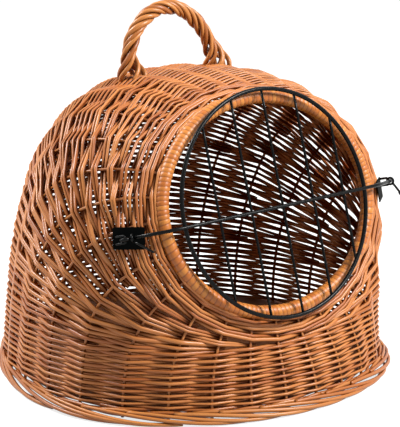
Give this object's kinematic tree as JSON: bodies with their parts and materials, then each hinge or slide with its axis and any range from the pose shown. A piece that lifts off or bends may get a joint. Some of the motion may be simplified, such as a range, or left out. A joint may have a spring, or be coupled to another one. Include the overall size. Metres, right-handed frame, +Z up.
{
  "type": "wicker pet carrier",
  "caption": "Domed willow pet carrier with a wrapped oval mouth, a round wire door on a cross rod, and a twisted rope handle on the crown.",
  "frame": {"origin": "on the ground, under the middle of the carrier's box", "axes": "+Z up, -Y out of the mouth, +X on the right of someone who looks at the mouth from outside"},
  "size_m": [0.4418, 0.461, 0.416],
  "materials": {
    "willow_weave": "peeled willow with a satin varnish",
    "willow_stakes": "peeled willow with a satin varnish",
    "willow_rim": "split and round willow with a satin varnish",
    "plywood": "stained plywood",
    "black_wire": "black satin coating"
  },
  "bodies": {
    "basket": {"woven_wall": "willow_weave", "foot_border": "willow_weave", "rim_roll": "willow_rim", "floor_panel": "plywood", "stake_01": "willow_stakes", "stake_02": "willow_stakes", "stake_03": "willow_stakes", "stake_04": "willow_stakes", "stake_05": "willow_stakes", "stake_06": "willow_stakes", "stake_07": "willow_stakes", "stake_08": "willow_stakes", "stake_09": "willow_stakes", "stake_10": "willow_stakes", "stake_11": "willow_stakes", "stake_12": "willow_stakes", "stake_13": "willow_stakes", "stake_14": "willow_stakes", "stake_15": "willow_stakes", "stake_16": "willow_stakes", "stake_17": "willow_stakes", "stake_18": "willow_stakes", "stake_19": "willow_stakes", "stake_20": "willow_stakes", "stake_21": "willow_stakes", "stake_22": "willow_stakes", "stake_23": "willow_stakes", "stake_24": "willow_stakes", "stake_25": "willow_stakes", "stake_26": "willow_stakes", "stake_27": "willow_stakes", "stake_28": "willow_stakes", "handle_strand_1": "willow_rim", "handle_strand_2": "willow_rim", "handle_strand_3": "willow_rim", "handle_strand_4": "willow_rim", "handle_strand_5": "willow_rim", "handle_strand_6": "willow_rim", "hinge_plate": "black_wire", "latch_plate": "black_wire", "hinge_staple": "black_wire", "latch_staple": "black_wire"},
    "door": {"door_ring": "black_wire", "door_bar_1": "black_wire", "door_bar_2": "black_wire", "door_bar_3": "black_wire", "door_bar_4": "black_wire", "door_bar_5": "black_wire", "cross_rod": "black_wire"},
    "left_tongue": {"hinge_tongue": "black_wire"},
    "right_tongue": {"latch_tongue": "black_wire"}
  },
  "joints": [
    {"name": "door_swing", "type": "hinge", "parent": "basket", "child": "door", "pos_m": [-0.1807, -0.14673, 0.20309], "axis": [0.0209, -0.284, -0.9586], "range_deg": [0, 120]},
    {"name": "left_tongue_swing", "type": "hinge", "parent": "door", "child": "left_tongue", "pos_m": [-0.17476, -0.15124, 0.20456], "axis": [-0.7817, 0.5931, -0.1928], "range_deg": [-35, 45]},
    {"name": "right_tongue_swing", "type": "hinge", "parent": "door", "child": "right_tongue", "pos_m": [0.18014, -0.14997, 0.21193], "axis": [-0.8295, -0.5401, 0.1419], "range_deg": [-35, 45]}
  ]
}
